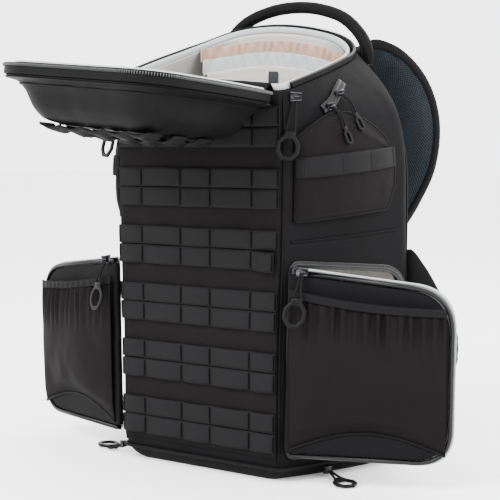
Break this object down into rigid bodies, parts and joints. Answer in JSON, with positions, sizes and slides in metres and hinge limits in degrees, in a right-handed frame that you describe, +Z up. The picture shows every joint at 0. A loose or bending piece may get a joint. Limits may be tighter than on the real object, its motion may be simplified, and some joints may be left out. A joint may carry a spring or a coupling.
{
  "type": "camera backpack",
  "caption": "Padded camera backpack standing open: moulded lid laid forward, side doors swung out, webbing on the front, pale lining.",
  "frame": {"origin": "middle of the base, on the surface that the pack stands on", "axes": "+Z up, -Y the way the front faces and the lid is laid, +X along the front, to the right as seen from the front"},
  "size_m": [0.5202, 0.4411, 0.4906],
  "materials": {
    "body_fabric": "dense matt woven nylon, near black",
    "front_fabric": "matt woven nylon, slightly brown black",
    "webbing": "ribbed woven strap, dark grey black",
    "zip_coil": "coil zip on smooth tape, black",
    "moulded_pull": "moulded grip on a doubled cord, satin black",
    "slider_metal": "dark gunmetal zip slider, worn at the edges",
    "pale_lining": "pale grey smooth lining cloth",
    "cream_lining": "off-white brushed lining cloth",
    "warm_lining": "warm peach grey lining cloth, gathered",
    "spacer_mesh": "blue-grey spacer mesh",
    "grey_tag": "plain dark grey woven tab, bare"
  },
  "bodies": {
    "root": {"back_panel": "spacer_mesh", "back_zip": "zip_coil", "base_piping": "zip_coil", "body_shell": "body_fabric", "carry_handle": "body_fabric", "door_band_left": "webbing", "door_band_right": "webbing", "door_lining_left": "pale_lining", "door_lining_right": "pale_lining", "door_panel_left": "body_fabric", "door_panel_right": "body_fabric", "door_pocket_left": "front_fabric", "door_pocket_right": "front_fabric", "door_pull_left": "moulded_pull", "door_pull_right": "moulded_pull", "door_zip_left": "zip_coil", "door_zip_right": "zip_coil", "floor_pull_left": "moulded_pull", "floor_pull_right": "moulded_pull", "front_panel": "front_fabric", "hip_wing_left": "body_fabric", "hip_wing_right": "body_fabric", "lid_hinge": "body_fabric", "lid_lining": "pale_lining", "lid_pull_left": "moulded_pull", "lid_pull_right": "moulded_pull", "lid_shell": "body_fabric", "lid_webbing_1": "webbing", "lid_webbing_2": "webbing", "lid_webbing_3": "webbing", "lid_zip": "zip_coil", "lining_back_panel": "cream_lining", "lining_gathered_band": "warm_lining", "lining_middle_band": "pale_lining", "lining_tab": "grey_tag", "mouth_binding": "pale_lining", "mouth_zip": "zip_coil", "pocket_zip_left": "zip_coil", "pocket_zip_right": "zip_coil", "shoulder_strap_left": "body_fabric", "shoulder_strap_right": "body_fabric", "side_pocket_left": "front_fabric", "side_pocket_right": "front_fabric", "side_webbing_left": "webbing", "side_webbing_right": "webbing", "strap_webbing_left": "webbing", "strap_webbing_right": "webbing", "webbing_1_lower": "webbing", "webbing_1_upper": "webbing", "webbing_2_lower": "webbing", "webbing_2_upper": "webbing", "webbing_3_lower": "webbing", "webbing_3_upper": "webbing", "webbing_4_lower": "webbing", "webbing_4_upper": "webbing", "webbing_5_lower": "webbing", "webbing_5_upper": "webbing", "webbing_6_lower": "webbing", "webbing_6_upper": "webbing"}
  },
  "joints": []
}
